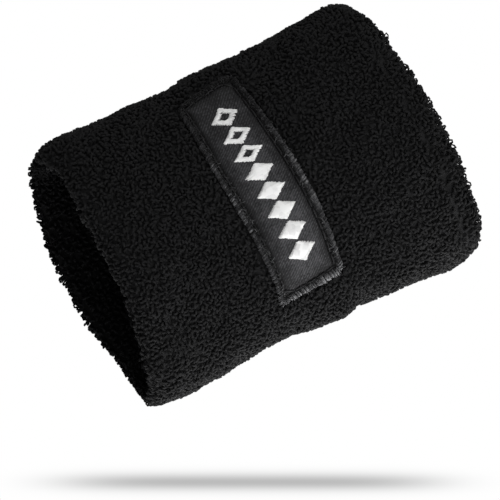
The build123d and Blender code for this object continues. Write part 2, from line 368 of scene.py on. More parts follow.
def maths(tree, operation, *inputs):
    return node(tree, "ShaderNodeMath", *inputs, operation=operation).outputs[0]


def vector_maths(tree, operation, *inputs, **named):
    made = node(tree, "ShaderNodeVectorMath", *inputs, operation=operation, **named)
    scalar = operation in ("DOT_PRODUCT", "DISTANCE", "LENGTH")
    return made.outputs["Value" if scalar else "Vector"]


def map_range(tree, value, source=(0.0, 1.0), to=(0.0, 1.0), **settings):
    return node(
        tree, "ShaderNodeMapRange", **settings, Value=value,
        From_Min=source[0], From_Max=source[1], To_Min=to[0], To_Max=to[1],
    ).outputs[0]


def attribute(tree, name, output="Fac"):
    return node(tree, "ShaderNodeAttribute", attribute_name=name).outputs[output]


def noise(tree, vector, scale, detail, roughness):
    return node(
        tree, "ShaderNodeTexNoise", Vector=vector, Scale=scale, Detail=detail, Roughness=roughness
    ).outputs["Fac"]


def ramp(tree, value, stops):
    """A colour ramp of (position, colour) stops."""
    made = node(tree, "ShaderNodeValToRGB", Fac=value)
    elements = made.color_ramp.elements
    while len(elements) < len(stops):
        elements.new(0.5)
    for element, (position, colour) in zip(elements, stops):
        element.position = position
        element.color = (*colour, 1.0)
    return made.outputs["Color"]


def millimetres(tree):
    """Object coordinates in millimetres."""
    place_node = tree.nodes.new("ShaderNodeTexCoord")
    scale = (1 / MM,) * 3
    return node(
        tree, "ShaderNodeMapping", Vector=place_node.outputs["Object"], Scale=scale
    ).outputs["Vector"]


def bump(tree, shader, height, strength):
    """Fibre-scale relief 0.06 mm deep."""
    relief = node(tree, "ShaderNodeBump", Strength=strength, Distance=0.00006, Height=height)
    feed(tree, shader, Normal=relief.outputs["Normal"])


def material(name, roughness=0.5):
    made = bpy.data.materials.new(name)
    made.use_nodes = True
    tree = made.node_tree
    shader = tree.nodes["Principled BSDF"]
    shader.inputs["Roughness"].default_value = roughness
    return made, tree, shader


# ---- cloth and thread materials -------------------------------------------------------
def thread_material(
    name, dark, light, rough, sheen, shine=0.25, relief=0.5, tint=(0.5, 0.5, 0.5), spread=0.45
):
    """Yarn: tone that changes from strand to strand, fibre-scale bump and a sheen.

    shine is the specular level, tint the sheen's colour and spread the sheen's roughness.
    """
    made, tree, shader = material(name, rough)
    vector = millimetres(tree)
    cells = node(tree, "ShaderNodeTexVoronoi", Vector=vector, Scale=0.95)
    tone = noise(tree, vector, scale=0.11, detail=3.0, roughness=0.6)
    fibre = noise(tree, vector, scale=9.0, detail=4.0, roughness=0.75)
    strand = node(tree, "ShaderNodeSeparateColor", Color=cells.outputs["Color"]).outputs["Red"]
    # strand and fibre shares of the tone
    mixed = maths(tree, "MULTIPLY_ADD", strand, 0.45, tone)
    mixed = maths(tree, "MULTIPLY_ADD", fibre, 0.5, mixed)
    feed(
        tree, shader,
        Base_Color=ramp(tree, mixed, [(0.45, dark), (1.0, light)]),
        Roughness=map_range(tree, fibre, to=(max(rough - 0.1, 0.2), min(rough + 0.08, 1.0))),
        Specular_IOR_Level=shine,
        Sheen_Weight=sheen,
        Sheen_Roughness=spread,
        Sheen_Tint=(*tint, 1),
    )
    bump(tree, shader, fibre, relief)
    return made


def soften(yarn, share):
    """Lets that share of the shading follow the pile's surface instead of each yarn's own."""
    tree = yarn.node_tree
    shader = tree.nodes["Principled BSDF"]
    normal = shader.inputs["Normal"].links[0].from_socket
    own = vector_maths(tree, "SCALE", normal, Scale=1 - share)
    pile = attribute(tree, "pile", "Vector")
    mixed = vector_maths(tree, "MULTIPLY_ADD", pile, (share,) * 3, own)
    feed(tree, shader, Normal=vector_maths(tree, "NORMALIZE", mixed))


def paint_skin_shade(cloth, colour):
    """Gives the cloth another, darker colour, a painted shade, where its `skin` attribute is 1."""
    tree = cloth.node_tree
    shader = tree.nodes["Principled BSDF"]
    paint = shader.inputs["Base Color"].links[0].from_socket
    mix = node(tree, "ShaderNodeMix", attribute(tree, "skin"), data_type="RGBA")
    tree.links.new(paint, mix.inputs[6])  # colour A
    mix.inputs[7].default_value = colour  # colour B
    feed(tree, shader, Base_Color=mix.outputs[2])


def border_material():
    """Overlock thread: each turn its own shade from near black to grey, dull, with paler fuzz, and
    painted highlights and painted shade along each stitch and towards +X.
    """
    made, tree, shader = material("border_thread", roughness=0.65)
    vector = millimetres(tree)
    fibre = noise(tree, vector, scale=3.4, detail=3.0, roughness=0.75)
    tone = noise(tree, vector, scale=0.55, detail=4.0, roughness=0.65)
    mixed = maths(tree, "MULTIPLY_ADD", fibre, 1.3, tone)
    mixed = maths(tree, "ADD", mixed, attribute(tree, "shade"))
    colour = ramp(tree, map_range(tree, mixed, source=(0.90, 2.15)), [
        (0.0, (0.0012, 0.0012, 0.0014)),
        (0.40, (0.010, 0.010, 0.0108)),
        (0.72, (0.036, 0.036, 0.038)),
        (1.0, (0.125, 0.126, 0.129)),
    ])
    feed(tree, shader, Base_Color=colour, Specular_IOR_Level=0.10, Sheen_Weight=0.05)
    bump(tree, shader, fibre, strength=0.6)
    return made


def twill_material():
    """Dark charcoal cloth, with a painted highlight on the crowns of its ribs and painted shade
    between them, paler towards its middle and with painted shade in the groove inside the border.
    """
    made, tree, shader = material("charcoal_twill")
    vector = millimetres(tree)
    fibre = noise(tree, vector, scale=6.5, detail=4.0, roughness=0.75)
    mixed = noise(tree, vector, scale=0.30, detail=5.0, roughness=0.65)
    grain = noise(tree, vector, scale=2.1, detail=2.0, roughness=0.6)
    # what each adds to the tone
    shares = [
        # painted highlight on the rib crowns, painted shade between them
        (attribute(tree, "painted_rib_light"), 0.55),
        (fibre, 0.70),
        # paler towards the middle, and painted shade in the groove
        (attribute(tree, "tone_and_groove_shade"), 0.38),
        (grain, 1.0),
    ]
    for source, share in shares:
        mixed = maths(tree, "MULTIPLY_ADD", source, share, mixed)
    colour = ramp(tree, map_range(tree, mixed, source=(1.12, 2.25)), [
        (0.0, (0.0010, 0.0010, 0.0012)),
        (0.45, (0.0090, 0.0090, 0.0097)),
        (1.0, (0.050, 0.050, 0.053)),
    ])
    feed(
        tree, shader,
        Base_Color=colour,
        Roughness=map_range(tree, fibre, to=(0.55, 0.8)),
        Specular_IOR_Level=0.12,
        Sheen_Weight=0.04,
        Sheen_Roughness=0.4,
    )
    bump(tree, shader, fibre, strength=0.5)
    return made


TERRY = thread_material(
    "terry_cotton", dark=(0.0025, 0.0025, 0.0026), light=(0.0052, 0.0052, 0.0055),
    rough=0.95, sheen=0.045, shine=0.04, spread=0.8,
)
soften(TERRY, share=0.62)
# A darker copy of the terry yarn, painted shade, for the skin side and the back of the upper rim,
# where the inside of the band lies in shade.
TERRY_SHADED = thread_material(
    "terry_cotton_painted_shade", dark=(0.0014, 0.0014, 0.0015), light=(0.0034, 0.0034, 0.0036),
    rough=0.97, sheen=0.006, shine=0.02,
)
# Ground knit, painted paler than the loops' yarn: painted light that lifts the shade in the gaps
# between the loops. On the skin side it is painted dark instead, painted shade.
GROUND = thread_material(
    "ground_knit", dark=(0.0080, 0.0080, 0.0082), light=(0.0145, 0.0145, 0.0149),
    rough=0.97, sheen=0.02, shine=0.03,
)
paint_skin_shade(GROUND, colour=(0.0021, 0.0021, 0.0022, 1))
SEAM = thread_material(
    "sewing_thread", dark=(0.002, 0.002, 0.0022), light=(0.008, 0.008, 0.0086),
    rough=0.6, sheen=0.05, shine=0.15,
)
BORDER = border_material()
WHITE = thread_material(
    "embroidery_thread", dark=(0.40, 0.40, 0.40), light=(0.66, 0.66, 0.655),
    rough=0.5, sheen=0.08, shine=0.12, relief=0.6, tint=(1, 1, 1),
)
BACKING = thread_material(
    "patch_backing", dark=(0.004, 0.004, 0.004), light=(0.012, 0.012, 0.012),
    rough=0.9, sheen=0.02, shine=0.1,
)
ELASTIC = thread_material(
    "covered_elastic", dark=(0.010, 0.010, 0.011), light=(0.035, 0.035, 0.037),
    rough=0.55, sheen=0.1, shine=0.2,
)
TWILL = twill_material()


# ---- the wall's section ---------------------------------------------------------------
def wall_table():
    """(depth, z) round the wall's section, the length so far at each, and where its parts end.

    It runs up the outside, over the rim, down the skin side and under the lower rim.
    """
    straight = 200  # points on each straight part
    quarter = np.linspace(0, math.pi / 2, 60)
    cos, sin = np.cos(quarter), np.sin(quarter)
    crest = OUT_DEPTH + FOLD_OUT
    up_out = np.stack([crest - FOLD_OUT * cos, TOP_Z - RISE_OUT + RISE_OUT * sin], 1)
    down_in = np.stack([crest + FOLD_IN * sin, TOP_Z - RISE_IN + RISE_IN * cos], 1)
    upper = np.concatenate([up_out, down_in[1:]])
    lower = upper[::-1] * np.array([1, -1]) + np.array([0, HEIGHT])
    out_z = np.linspace(OUT_DEPTH + RISE_OUT, TOP_Z - RISE_OUT, straight)
    in_z = np.linspace(TOP_Z - RISE_IN, OUT_DEPTH + RISE_IN, straight)
    out_line = np.stack([np.full(straight, OUT_DEPTH), out_z], 1)
    in_line = np.stack([np.full(straight, IN_DEPTH), in_z], 1)
    path = np.concatenate([out_line, upper[1:], in_line[1:], lower[1:]])
    length = np.concatenate([[0], np.cumsum(np.linalg.norm(np.diff(path, axis=0), axis=1))])
    rim = straight - 1
    skin = rim + len(upper) - 1
    low = skin + straight - 1
    return path, length, (length[rim], length[skin], length[low], length[-1])


SECTION, SECTION_LENGTH, (RIM_AT, SKIN_AT, LOW_AT, AROUND) = wall_table()
# Places round the section, in turns: `wrap` runs from 0 to 1.
RIM = RIM_AT / AROUND
CREST = (RIM_AT + 0.72 * (SKIN_AT - RIM_AT)) / AROUND
LOW_CREST = (LOW_AT + 0.28 * (AROUND - LOW_AT)) / AROUND
BACK_SHADE_START = RIM + 0.42 * (CREST - RIM)  # where the painted shade of the skin side starts on the back half of the upper rim


def wall_profile(wrap):
    """(depth, z) round the section, fuller near the folds and dipped at the closing seam."""
    at = np.mod(wrap, 1.0) * AROUND
    depth, z = (np.interp(at, SECTION_LENGTH, SECTION[:, axis]) for axis in (0, 1))
    from_middle = np.abs(z - MID_Z)
    full = 0.30 * ease(from_middle, 22.0, 32.0) * (1 - ease(from_middle, 33.0, 38.0))
    middle = (OUT_DEPTH + IN_DEPTH) / 2
    depth = depth + np.sign(depth - middle) * full * ease(np.abs(depth - middle), 0.0, 1.2)
    depth = depth - np.where(depth > middle, 0.55 * hump(z - SEAM_Z, 1.6), 0)
    return depth, z


# ---- ground sleeve: the section carried round the oval --------------------------------
NU, NV = 264, 268  # points round the oval and round the section
TURNS, WRAPS = (
    part.ravel() for part in np.meshgrid(np.arange(NU) / NU, np.arange(NV) / NV, indexing="ij")
)


def sleeve_grid():
    depth, z = wall_profile(WRAPS)
    points, outward = place(TURNS, depth, z)
    along, patch_z = patch_coords(points)
    # pressed in under the patch
    pressed = ease(-patch_distance(along, patch_z, grow=0.3), -1.0, 0.5)
    near = np.where((outward[:, 1] < -0.3) & (depth < MID_DEPTH), pressed, 0)
    points = points - outward * (near * (0.30 + sunk(along)))[:, None]
    uneven = (0.16 * medium(points) + 0.05 * fine(points)) * (1 - near)
    return (warp(points) + outward * uneven[:, None]).reshape(NU, NV, 3)


def grid_normals(grid):
    """Normals of a closed grid and its directions round the oval."""
    round_oval = np.roll(grid, -1, 0) - np.roll(grid, 1, 0)
    round_wall = np.roll(grid, -1, 1) - np.roll(grid, 1, 1)
    return unit(np.cross(round_oval, round_wall)), unit(round_oval)


def sample(grid, turn, wrap):
    """Bilinear look-up in a grid that wraps both ways."""
    rows, columns = grid.shape[:2]
    x, y = np.mod(turn, 1) * rows, np.mod(wrap, 1) * columns
    i, j = np.floor(x).astype(int) % rows, np.floor(y).astype(int) % columns
    share_x, share_y = (x - np.floor(x))[:, None], (y - np.floor(y))[:, None]
    after_i, after_j = (i + 1) % rows, (j + 1) % columns
    near = grid[i, j] * (1 - share_x) + grid[after_i, j] * share_x
    far = grid[i, after_j] * (1 - share_x) + grid[after_i, after_j] * share_x
    return near * (1 - share_y) + far * share_y


def spread_out(grid, times):
    """Averages each point of a closed grid with its four neighbours."""
    for _ in range(times):
        neighbours = [np.roll(grid, way, axis) for axis in (0, 1) for way in (1, -1)]
        grid = (grid * 2 + sum(neighbours)) / 6
    return grid


def hold_weights(points, normals):
    """How firmly each point is held: fully at the seam and under the patch."""
    along, z = patch_coords(points)
    mid_x, mid_y = HALF_LONG - MID_DEPTH, HALF_SHORT - MID_DEPTH
    skin = np.hypot(points[:, 0] / mid_x, points[:, 1] / mid_y) < 1.0
    at_seam = hump(points[:, 2] - SEAM_Z, 2.5) * skin
    at_patch = (normals[:, 1] < -0.3) * (patch_distance(along, z, grow=1.0) < 0)
    return np.clip(np.maximum(at_seam, at_patch), 0.15, 1)


def relax(grid, step=4, scale=10.0, most=1.1, frames=20):
    """Cloth simulation of the double wall: pressure fills it out while seam and patch hold it.

    Every step-th point is simulated, scaled up, and no point moves further than `most`.
    """
    coarse = grid[::step, ::step]
    rows, columns = coarse.shape[:2]
    points = coarse.reshape(-1, 3)
    faces = [grid_faces(rows, columns)]
    sheet = make_mesh("relaxing_sleeve", points * scale, faces, GROUND)
    hold = sheet.vertex_groups.new(name="hold")
    for k, weight in enumerate(hold_weights(points, grid_normals(coarse)[0].reshape(-1, 3))):
        hold.add([k], float(weight), "REPLACE")
    cloth = sheet.modifiers.new("cloth", "CLOTH")
    settings = cloth.settings
    settings.vertex_group_mass = "hold"
    settings.quality = 6
    settings.mass = 0.35
    settings.air_damping = 2.0
    settings.tension_stiffness = settings.compression_stiffness = 25.0
    settings.shear_stiffness = 8.0
    settings.bending_stiffness = 1.5
    settings.use_pressure = True
    settings.uniform_pressure_force = 2.2
    settings.effector_weights.gravity = 0.0
    cloth.collision_settings.use_collision = False

    scene = bpy.context.scene
    scene_range = scene.frame_start, scene.frame_end
    scene.frame_start, scene.frame_end = 1, frames
    cloth.point_cache.frame_start, cloth.point_cache.frame_end = 1, frames
    for number in range(1, frames + 1):
        scene.frame_set(number)
    done = sheet.evaluated_get(bpy.context.evaluated_depsgraph_get())
    relaxed = np.empty(len(points) * 3, np.float32)
    done.data.vertices.foreach_get("co", relaxed)
    scene.frame_set(1)
    scene.frame_start, scene.frame_end = scene_range
    bpy.data.objects.remove(sheet, do_unlink=True)

    move = relaxed.reshape(-1, 3).astype(float) * (1 / MM / scale) - points
    reach = np.linalg.norm(move, axis=1, keepdims=True)
    move *= most * np.tanh(reach / most) / np.maximum(reach, 1e-9)
    move = spread_out(move.reshape(rows, columns, 3), times=2)
    lift = sample(move, TURNS, WRAPS).reshape(NU, NV, 3)
    return grid + spread_out(lift, times=3)


GRID = relax(sleeve_grid())
NORMALS, TANGENTS = grid_normals(GRID)


def build_ground():
    verts = GRID.reshape(-1, 3)
    ground = make_mesh("ground_knit_sleeve", verts, [grid_faces(NU, NV)], GROUND)
    # Painted shade: `skin` is 1 where the ground is painted dark, on the skin side and, on the back
    # half, from further round the upper rim.
    back = verts[:, 1] > 3.0
    starts = np.where(back, BACK_SHADE_START - 0.006, CREST - 0.012)
    ends = np.where(back, BACK_SHADE_START + 0.010, CREST)
    skin = ease(WRAPS, starts, ends) * (1 - ease(WRAPS, LOW_CREST, LOW_CREST + 0.012))
    set_attribute(ground, "skin", skin)
    register(ground, "ground_knit")


build_ground()


# ---- terry loops ----------------------------------------------------------------------
# one loop of yarn: sideways, height from the ground, and out of the loop's plane
LOOP = np.array([
    (-0.10, -0.35, -0.15), (0.07, 0.10, -0.15), (0.31, 0.40, -0.12), (0.39, 0.76, -0.06),
    (0.19, 1.03, -0.02), (-0.19, 1.03, 0.02), (-0.39, 0.76, 0.06), (-0.31, 0.40, 0.12),
    (-0.07, 0.10, 0.15), (0.10, -0.35, 0.15),
])
LOOP_SIDES = 4
MOST_LOOPS = 2600  # in one object


def open_rings(root, seed):
    """How far each loop stands open as a ring, as some do where the folds open the pile."""
    rng = np.random.default_rng(seed)
    fold = ease(np.abs(root[:, 2] - MID_Z), 37.2, 38.8)
    lower = root[:, 2] < MID_Z  # the upper rim is worn flatter
    opened = rng.uniform(0, 1, len(root)) < np.where(lower, 0.50, 0.20) * fold
    return (opened * rng.uniform(0.5, 1.0, len(root)) * np.where(lower, 1.0, 0.55))[:, None]


def patch_push(root, normal, tangent):
    """Which loops stand beside the patch, and how far they are pushed off its edge."""
    reach, margin = 1.3, 1.4
    along, z = patch_coords(root)
    distance = patch_distance(along, z)
    beside = (normal[:, 1] < -0.3) & (distance < reach)
    off_end = np.maximum(np.abs(along) - HALF_L + margin, 0) * np.sign(along)
    off_edge = np.maximum(np.abs(z) - HALF_H + margin, 0) * np.sign(z)
    away = unit(np.stack([off_end, off_edge], 1) + 1e-6)
    amount = np.where(beside, 0.55 * (reach - np.clip(distance, 0, reach)) / reach, 0)
    push = tangent * away[:, :1] + np.array([0, 0, 1.0]) * away[:, 1:]
    return beside, push * amount[:, None]


def loop_paths(turn, wrap, seed):
    """Paths, cross directions and radii of one curled loop of yarn at each place."""
    rng = np.random.default_rng(seed)
    count = len(turn)
    root = sample(GRID, turn, wrap)
    normal = unit(sample(NORMALS, turn, wrap))
    tangent = sample(TANGENTS, turn, wrap)
    tangent = unit(tangent - (tangent * normal).sum(1, keepdims=True) * normal)
    other = np.cross(normal, tangent)
    yaw = rng.uniform(0, TAU, count)[:, None]
    sideways = np.cos(yaw) * tangent + np.sin(yaw) * other
    facing = np.cross(normal, sideways)

    # sizes, lower towards -X, then unevenness
    side = LOOP[None, :, 0] * rng.uniform(0.68, 1.10, (count, 1))
    height = LOOP[None, :, 1] * rng.uniform(0.66, 0.92, (count, 1))
    height = height * (1 - 0.20 * ease(-root[:, :1], 8.0, 26.0))
    face = LOOP[None, :, 2] * rng.uniform(0.7, 1.6, (count, 1))
    side = side + rng.normal(0, 0.035, side.shape)
    height = height + rng.normal(0, 0.03, height.shape)
    face = face + rng.normal(0, 0.05, face.shape)
    ring = open_rings(root, seed + 9000)
    side = side * (1 + 0.50 * ring)
    height = height * (1 + 0.75 * ring)

    above = np.clip(height, 0, None)
    twist = rng.normal(0, 0.75, (count, 1)) * above
    cos, sin = np.cos(twist), np.sin(twist)
    side, face = side * cos - face * sin, side * sin + face * cos
    lean = 0.30 * np.stack([medium(root + 70), medium(root + 170)], 1)
    lean = lean + rng.normal(0, 0.26, (count, 2))
    beside, push = patch_push(root, normal, tangent)
    lean = np.where(beside[:, None], lean * 0.4, lean)
    tip = tangent * lean[:, :1] + other * lean[:, 1:] + push
    path = (
        root[:, None]
        + sideways[:, None] * side[..., None]
        + normal[:, None] * height[..., None]
        + facing[:, None] * face[..., None]
        + tip[:, None] * above[..., None]
    )
    across = sideways[:, None] * -sin[..., None] + facing[:, None] * cos[..., None]
    lumps = rng.uniform(0.82, 1.18, (count, path.shape[1]))
    radius = rng.uniform(0.88, 1.12, (count, 1)) * lumps * YARN * (1 - 0.36 * ring)
    return path, across, radius


def scatter(start, end, spacing, seed):
    """Staggered, jittered (turn, wrap) places between two places of the wall's section."""
    rng = np.random.default_rng(seed)
    rows = max(int(round((end - start) * AROUND / (spacing * 0.92))), 1)
    turns, wraps = [], []
    for k in range(rows):
        wrap = start + (end - start) * (k + 0.5) / rows
        probe = sample(GRID, np.linspace(0, 1, 200), np.full(200, wrap))
        girth = np.linalg.norm(np.diff(probe, axis=0), axis=1).sum()
        count = int(round(girth / spacing))
        turn = (np.arange(count) + 0.5 * (k % 2)) / count
        turns.append(turn + rng.uniform(-0.30, 0.30, count) / count)
        wraps.append(wrap + rng.uniform(-0.30, 0.30, count) * spacing / AROUND)
    return np.concatenate(turns), np.concatenate(wraps)


def pile_regions():
    """(name, turn, wrap) of every region of the pile."""
    # painted shade: on the back half of the upper rim the darker skin-side yarn starts further round
    turn, wrap = scatter(RIM, CREST, spacing=1.0, seed=22)
    rng = np.random.default_rng(81)
    behind = sample(GRID, turn, wrap)[:, 1] > rng.normal(4.0, 2.0, len(turn))
    over = wrap > BACK_SHADE_START + 0.10 * (CREST - RIM) * rng.normal(0.5, 1.0, len(turn))
    painted_shade_back = behind & over
    return [
        ("outer", *scatter(0.0, RIM, spacing=0.98, seed=21)),
        ("inner", *scatter(CREST, LOW_CREST, spacing=1.2, seed=23)),
        ("lower_rim", *scatter(LOW_CREST, 1.0, spacing=1.0, seed=24)),
        ("upper_rim", turn[~painted_shade_back], wrap[~painted_shade_back]),
        ("inner_rim", turn[painted_shade_back], wrap[painted_shade_back]),
    ]


def clear_places(name, turn, wrap):
    """Which places of a region are clear of the patch and of the closing seam."""
    root, normal = sample(GRID, turn, wrap), unit(sample(NORMALS, turn, wrap))
    if name == "outer":
        under = patch_distance(*patch_coords(root), grow=0.3) < 0
        return ~((normal[:, 1] < -0.3) & under)
    if name == "inner":
        return np.abs(root[:, 2] - SEAM_Z) > 1.9
    return np.full(len(turn), True)


def build_pile():
    total = 0
    for name, turn, wrap in pile_regions():
        keep = clear_places(name, turn, wrap)
        turn, wrap = np.mod(turn[keep], 1), wrap[keep]
        order = np.argsort(turn, kind="stable")
        turn, wrap = turn[order], wrap[order]
        pieces = int(math.ceil(len(turn) / MOST_LOOPS))
        for k, part in enumerate(np.array_split(np.arange(len(turn)), pieces)):
            path, across, radius = loop_paths(turn[part], wrap[part], seed=300 + total)
            verts, faces = tubes(path, across, radius, LOOP_SIDES)
            label = f"terry_loops_{name}" + (f"_{k + 1}" if pieces > 1 else "")
            # painted shade: the skin side and the back of the upper rim get the darker yarn
            surface = TERRY_SHADED if name.startswith("inner") else TERRY
            loops = make_mesh(label, verts, faces, surface)
            out = unit(sample(NORMALS, turn[part], wrap[part]))
            out = np.repeat(out, len(LOOP) * LOOP_SIDES, axis=0).astype(np.float32)
            pile = loops.data.attributes.new("pile", "FLOAT_VECTOR", "POINT")
            pile.data.foreach_set("vector", out.ravel())
            register(loops, "terry_pile")
            total += len(part)


build_pile()


# ---- closing seam on the skin side: a zigzag of thread between two edge threads -------
def skin_point(turn, z, lift):
    """Points raised from the skin side's ground at height z, and the way out of it."""
    wrap = (SKIN_AT + (TOP_Z - RISE_IN - z)) / AROUND
    normal = unit(sample(NORMALS, turn, wrap))
    return sample(GRID, turn, wrap) + normal * lift[:, None], normal


def build_seam():
    rungs, half = 84, 1.35
    share = np.linspace(0, 1, 7)
    runs = []
    for k in range(rungs):
        for start, end, side in ((k, k + 0.5, -half), (k + 0.5, k + 1.0, half)):
            turn = (start + (end - start) * share) / rungs
            z = SEAM_Z + side * (1 - 2 * share)
            runs.append(skin_point(turn, z, 0.10 + 0.22 * np.sin(math.pi * share)))
    paths, normals = (np.array(part) for part in zip(*runs))
    parts = [tubes(paths, normals, 0.17, 6)]
    turn = np.arange(420) / 420
    wave = turn * TAU * rungs
    for side in (-half, half):
        lift = 0.13 + 0.05 * np.cos(wave)
        points, normal = skin_point(turn, SEAM_Z + side + 0.10 * np.sin(wave), lift)
        parts.append(tubes(points[None], normal[None], 0.16, 6, closed=True))
    seam = make_mesh("closing_seam_stitches", *join_parts(parts), SEAM)
    register(seam, "closing_seam_thread")


build_seam()


# ---- patch helpers --------------------------------------------------------------------
def patch_point(along, z, depth):
    """Warped points of the patch, which lies softly in the pile, for arrays of any shape."""
    along, z, depth = np.broadcast_arrays(along, z, depth)
    shape = along.shape
    along, z, depth = along.ravel(), z.ravel(), depth.ravel()
    flat = on_band(along, z, 0)
    points = on_patch(along, z, depth + sunk(along) - 0.035 * fine(flat) - 0.07 * medium(flat))
    return warp(points).reshape(*shape, 3)


def patch_frame(along, z):
    """Directions along the band, up the band and out of it at places on the patch."""
    step = 0.05
    ahead = unit(patch_point(along + step, z, 0) - patch_point(along - step, z, 0))
    up = unit(patch_point(along, z + step, 0) - patch_point(along, z - step, 0))
    return ahead, up, unit(np.cross(ahead, up))


def slab(step, top, bottom):
    """A closed curved sheet inside the border, with top and bottom depth functions."""
    half_l, half_h = HALF_L - 0.95, HALF_H - 0.95
    rows, columns = int(2 * half_l / step) + 1, int(2 * half_h / step) + 1
    along, z = np.meshgrid(
        np.linspace(-half_l, half_l, rows), np.linspace(-half_h, half_h, columns), indexing="ij"
    )
    along, z = along.ravel(), z.ravel()
    upper, lower = (patch_point(along, z, depth(along, z)) for depth in (top, bottom))
    quads = grid_faces(rows, columns, closed=False)
    count = rows * columns
    ring = np.concatenate([
        np.arange(rows) * columns,
        (rows - 1) * columns + np.arange(1, columns),
        np.arange(rows - 2, -1, -1) * columns + columns - 1,
        np.arange(columns - 2, 0, -1),
    ])
    after = np.roll(ring, -1)
    side = np.stack([ring, ring + count, after + count, after], -1)
    return np.concatenate([upper, lower]), [quads, quads[:, ::-1] + count, side], (along, z)


def edge_places(count, inset, radius):
    """(along, z) and the inward way at places round a rounded rectangle inside the patch's edge."""
    half_l, half_h = HALF_L - inset - radius, HALF_H - inset - radius
    sides = [2 * half_h, math.pi / 2 * radius, 2 * half_l, math.pi / 2 * radius] * 2
    at = (np.arange(count) + 0.5) / count * sum(sides)
    starts = np.concatenate([[0], np.cumsum(sides)])
    side = np.searchsorted(starts, at, side="right") - 1
    beyond = at - starts[side]
    along, z, inward_l, inward_z = (np.zeros(count) for _ in range(4))
    corners = [(half_l, half_h), (-half_l, half_h), (-half_l, -half_h), (half_l, -half_h)]
    for k in range(4):
        corner, before = np.array(corners[k]), np.array(corners[k - 1])
        angle = k * math.pi / 2
        cos, sin = math.cos(angle), math.sin(angle)
        line = side == 2 * k
        share = beyond[line] / sides[2 * k]
        start = before + radius * np.array([cos, sin])
        stop = corner + radius * np.array([cos, sin])
        along[line] = start[0] + (stop[0] - start[0]) * share
        z[line] = start[1] + (stop[1] - start[1]) * share
        inward_l[line], inward_z[line] = -cos, -sin
        bend = side == 2 * k + 1
        angle = angle + beyond[bend] / radius
        along[bend] = corner[0] + radius * np.cos(angle)
        z[bend] = corner[1] + radius * np.sin(angle)
        inward_l[bend], inward_z[bend] = -np.cos(angle), -np.sin(angle)
    return along, z, inward_l, inward_z


# ---- patch cloth and backing ----------------------------------------------------------
def twill_height(along, z):
    """Diagonal ribs about half a millimetre apart, each broken into short floats."""
    across = (along * 0.80 + z * 0.60) / 0.52
    run = (-along * 0.60 + z * 0.80) / 0.95
    rib = 0.5 + 0.5 * np.cos(TAU * across)
    broken = 0.5 + 0.5 * np.cos(TAU * (run + 0.5 * np.floor(across + 0.5)))
    return rib * (0.60 + 0.40 * broken)


def groove(along, z, inset, end_shift, width):
    """1 in the groove inside the border, which runs nearer the edge at the top and at +X."""
    shift = 0.40 * ease(z, 4.0, 7.0) + end_shift * ease(along, 21.8, 23.2)
    return hump(-patch_distance(along, z) - inset + shift, width)


def twill_top(along, z):
    sewn = groove(along, z, inset=1.90, end_shift=0.55, width=0.36)
    return 0.24 - 0.11 * twill_height(along, z) + 0.30 * sewn


def build_twill():
    verts, faces, (along, z) = slab(0.14, twill_top, lambda along, z: 0.55)
    twill = make_mesh("patch_twill", verts, faces, TWILL)
    under = np.zeros(len(along))
    # painted light: paler on the crowns of the ribs, darker between them
    set_attribute(twill, "painted_rib_light", np.concatenate([twill_height(along, z), under]))
    # paleness along the patch, fading to its edge, with painted shade darkest in the groove
    pale = np.interp(along, [-24, -19, -5, 10, 22], [0.8, 1.0, 1.0, 0.75, 0.25])
    pale = pale * ease(-patch_distance(along, z), 1.9, 5.5)
    pale = pale - 1.5 * groove(along, z, inset=1.85, end_shift=0.60, width=0.55)
    set_attribute(twill, "tone_and_groove_shade", np.concatenate([pale, under]))
    register(twill, "patch_fabric")


def build_backing():
    verts, faces, _ = slab(
        0.55,
        lambda along, z: 0.60 + 0.02 * fine(on_band(along, z, 0) * 1.7),
        lambda along, z: 0.92 + 0.03 * fine(on_band(along, z, 0) * 1.3),
    )
    backing = make_mesh("patch_backing_sheet", verts, faces, BACKING)
    register(backing, "patch_backing")


build_twill()
build_backing()


# ---- patch border ---------------------------------------------------------------------
BORDER_INSET, BORDER_CORNER = 1.0, 0.25  # the line the stitches wrap round
# one stitch from outside to inside: distance in from the patch's edge, depth, shade (a painted
# highlight on its crest and painted shade where it dives in, most on its inner side)
STITCH = np.array([
    (0.62, 1.10, -0.40), (0.34, 0.86, -0.25), (0.22, 0.46, 0.05), (0.28, 0.08, 0.22),
    (0.46, -0.12, 0.28), (0.76, -0.20, 0.22), (1.06, -0.14, 0.0), (1.30, 0.04, -0.35),
    (1.46, 0.26, -0.60), (1.50, 0.50, -0.70),
])


def border_edges(inward_l, inward_z):
    """Weights of the patch's upper edge and +X end, and the border's width there."""
    upper = ease(-inward_z, 0.3, 0.9)[:, None]
    plus_end = ease(-inward_l, 0.3, 0.9)[:, None]
    return upper, plus_end, 1 - 0.28 * upper - 0.38 * plus_end


def border_stitches(rng, count):
    """The turns of thread, and the shade at every step of each."""
    along, z, inward_l, inward_z = edge_places(count, BORDER_INSET, BORDER_CORNER)
    upper, plus_end, width = border_edges(inward_l, inward_z)
    slant = np.linspace(-0.34, 0.34, len(STITCH))[None] + rng.normal(0, 0.07, (count, 1))
    grow = rng.normal(1.0, 0.11, (count, 1))
    inward = (STITCH[:, 0] - BORDER_INSET)[None] * grow * width - 0.22 * upper - 0.32 * plus_end
    step_l = along[:, None] + inward_l[:, None] * inward - inward_z[:, None] * slant
    step_z = z[:, None] + inward_z[:, None] * inward + inward_l[:, None] * slant
    depth = STITCH[None, :, 1] + rng.normal(0, 0.06, (count, 1))
    path = patch_point(step_l, step_z, depth)
    ahead, up, _ = patch_frame(step_l, step_z)
    across = ahead * -inward_z[:, None, None] + up * inward_l[:, None, None]
    return tubes(path, across, 0.16 * rng.uniform(0.72, 1.15, count), 6)


